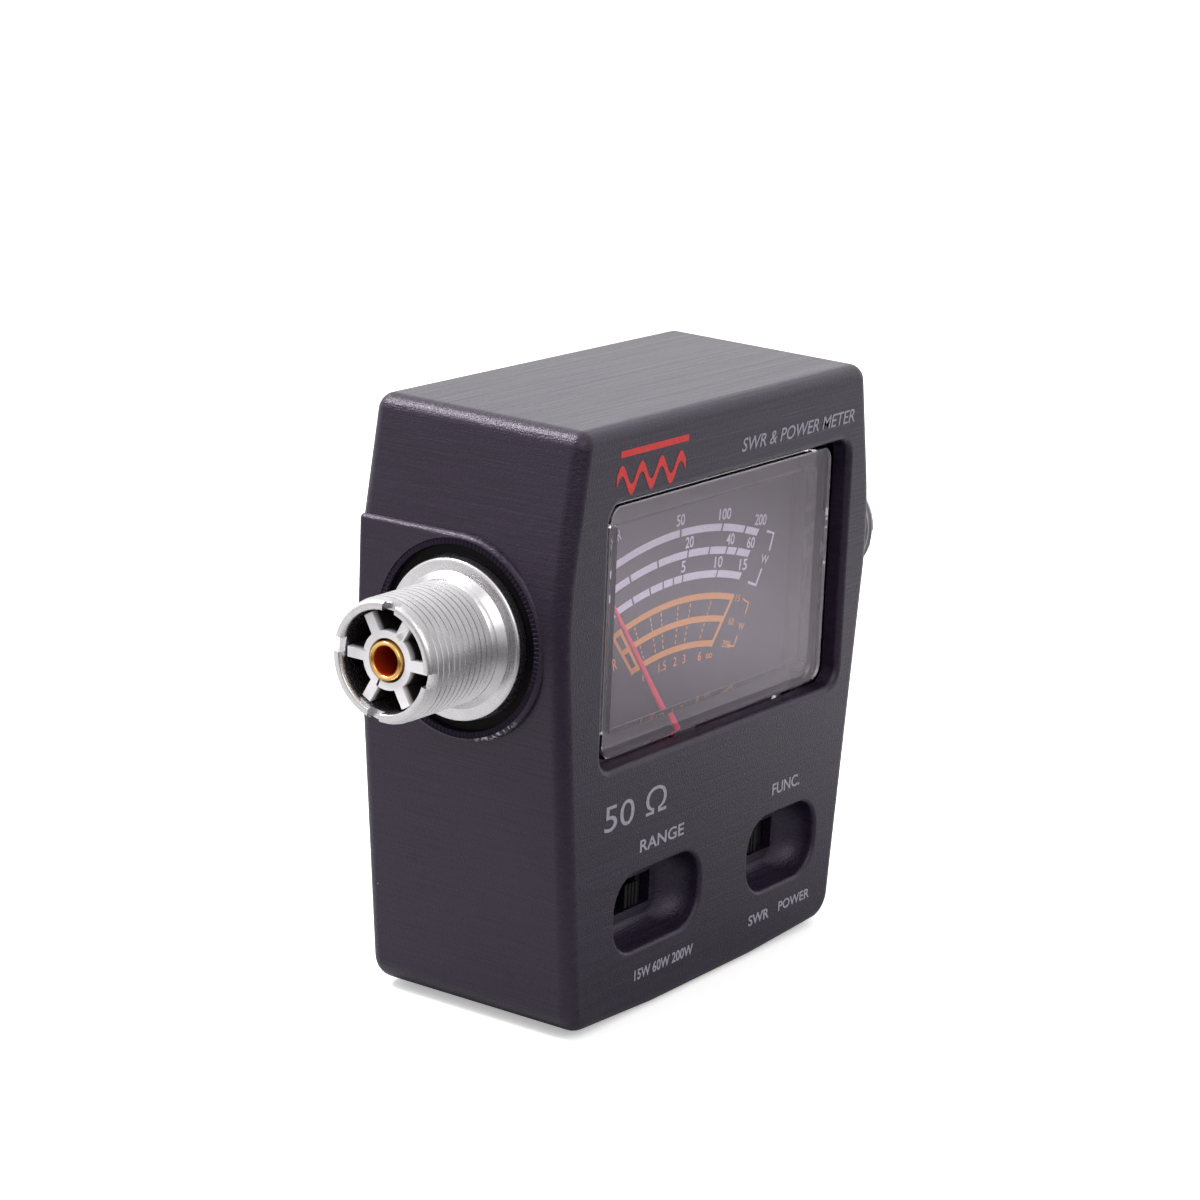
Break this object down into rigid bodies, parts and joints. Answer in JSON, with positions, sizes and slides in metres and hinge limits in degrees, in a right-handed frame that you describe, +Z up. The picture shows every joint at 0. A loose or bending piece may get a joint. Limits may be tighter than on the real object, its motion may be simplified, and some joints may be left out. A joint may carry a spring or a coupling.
{
  "type": "swr and power meter",
  "caption": "Compact SWR and RF power meter in a tapered die-cast case, with a needle gauge, two slide switches and a UHF socket on each side.",
  "frame": {"origin": "on the surface the case stands on, below the middle of the whole object", "axes": "+X along the two sockets, to the right seen from the front; +Y from the dial to the rear cover; +Z up"},
  "size_m": [0.1026, 0.0328, 0.0802],
  "materials": {
    "case_paint": "black-violet brushed satin paint on die-cast zinc",
    "nickel_plate": "bright nickel plate on turned brass",
    "gold_plate": "gold plate",
    "brass": "bare",
    "steel": "zinc-plated",
    "aluminium": "satin",
    "pale_plastic": "moulded, satin",
    "clear_plastic": "clear moulded plastic",
    "dial_paint": "matt lavender-grey paint with printed scales",
    "black_plastic": "moulded, satin",
    "needle_red": "matt",
    "magnet": "sintered",
    "copper_wire": "enamelled copper winding",
    "jewel": "polished",
    "board": "resin board, solder mask",
    "ceramic": "matt",
    "wire_insulation": "satin"
  },
  "bodies": {
    "case": {"front_housing": "case_paint", "rear_cover": "case_paint", "left_connector_body": "nickel_plate", "right_connector_body": "nickel_plate", "left_connector_nut": "nickel_plate", "right_connector_nut": "nickel_plate", "left_contact": "gold_plate", "right_contact": "gold_plate", "line_conductor": "brass", "rear_cover_screw_1": "steel", "rear_cover_screw_2": "steel", "rear_cover_screw_3": "steel", "rear_cover_screw_4": "steel", "left_ground_washer": "steel", "right_ground_washer": "steel", "dial_screw_left": "steel", "dial_screw_right": "steel", "magnet_yoke": "steel", "movement_screw_left": "steel", "movement_screw_right": "steel", "coupler_channel": "steel", "board_screw_1": "steel", "board_screw_2": "steel", "range_switch_body": "steel", "function_switch_body": "steel", "front_bridge": "aluminium", "rear_bridge": "aluminium", "left_insulator": "pale_plastic", "right_insulator": "pale_plastic", "meter_cover": "clear_plastic", "dial_plate": "dial_paint", "meter_base": "black_plastic", "core_magnet": "magnet", "front_jewel": "jewel", "rear_jewel": "jewel", "circuit_board": "board", "pickup_board": "board", "detector_diode_left": "ceramic", "detector_diode_right": "ceramic", "termination_resistor_left": "ceramic", "termination_resistor_right": "ceramic", "trimmer_1": "ceramic", "trimmer_2": "ceramic", "trimmer_3": "ceramic", "trimmer_4": "ceramic", "forward_wire": "wire_insulation", "reflected_wire": "wire_insulation", "meter_lead_negative": "wire_insulation", "meter_lead_positive": "wire_insulation"},
    "needle": {"pointer": "needle_red", "counterweight": "brass", "moving_coil": "copper_wire", "front_pivot": "steel", "rear_pivot": "steel", "front_hairspring": "brass", "rear_hairspring": "brass"},
    "range_knob": {"range_switch_knob": "black_plastic"},
    "function_knob": {"function_switch_knob": "black_plastic"}
  },
  "joints": [
    {"name": "needle_turn", "type": "hinge", "parent": "case", "child": "needle", "pos_m": [0, -0.0094, 0.0318], "axis": [0, 1, 0], "range_deg": [0, 75], "stiffness_Nm_per_rad": 0.000001},
    {"name": "range_slide", "type": "slide", "parent": "case", "child": "range_knob", "axis": [1, 0, 0], "range_m": [-0.002, 0.002]},
    {"name": "function_slide", "type": "slide", "parent": "case", "child": "function_knob", "axis": [1, 0, 0], "range_m": [0, 0.0025]}
  ]
}
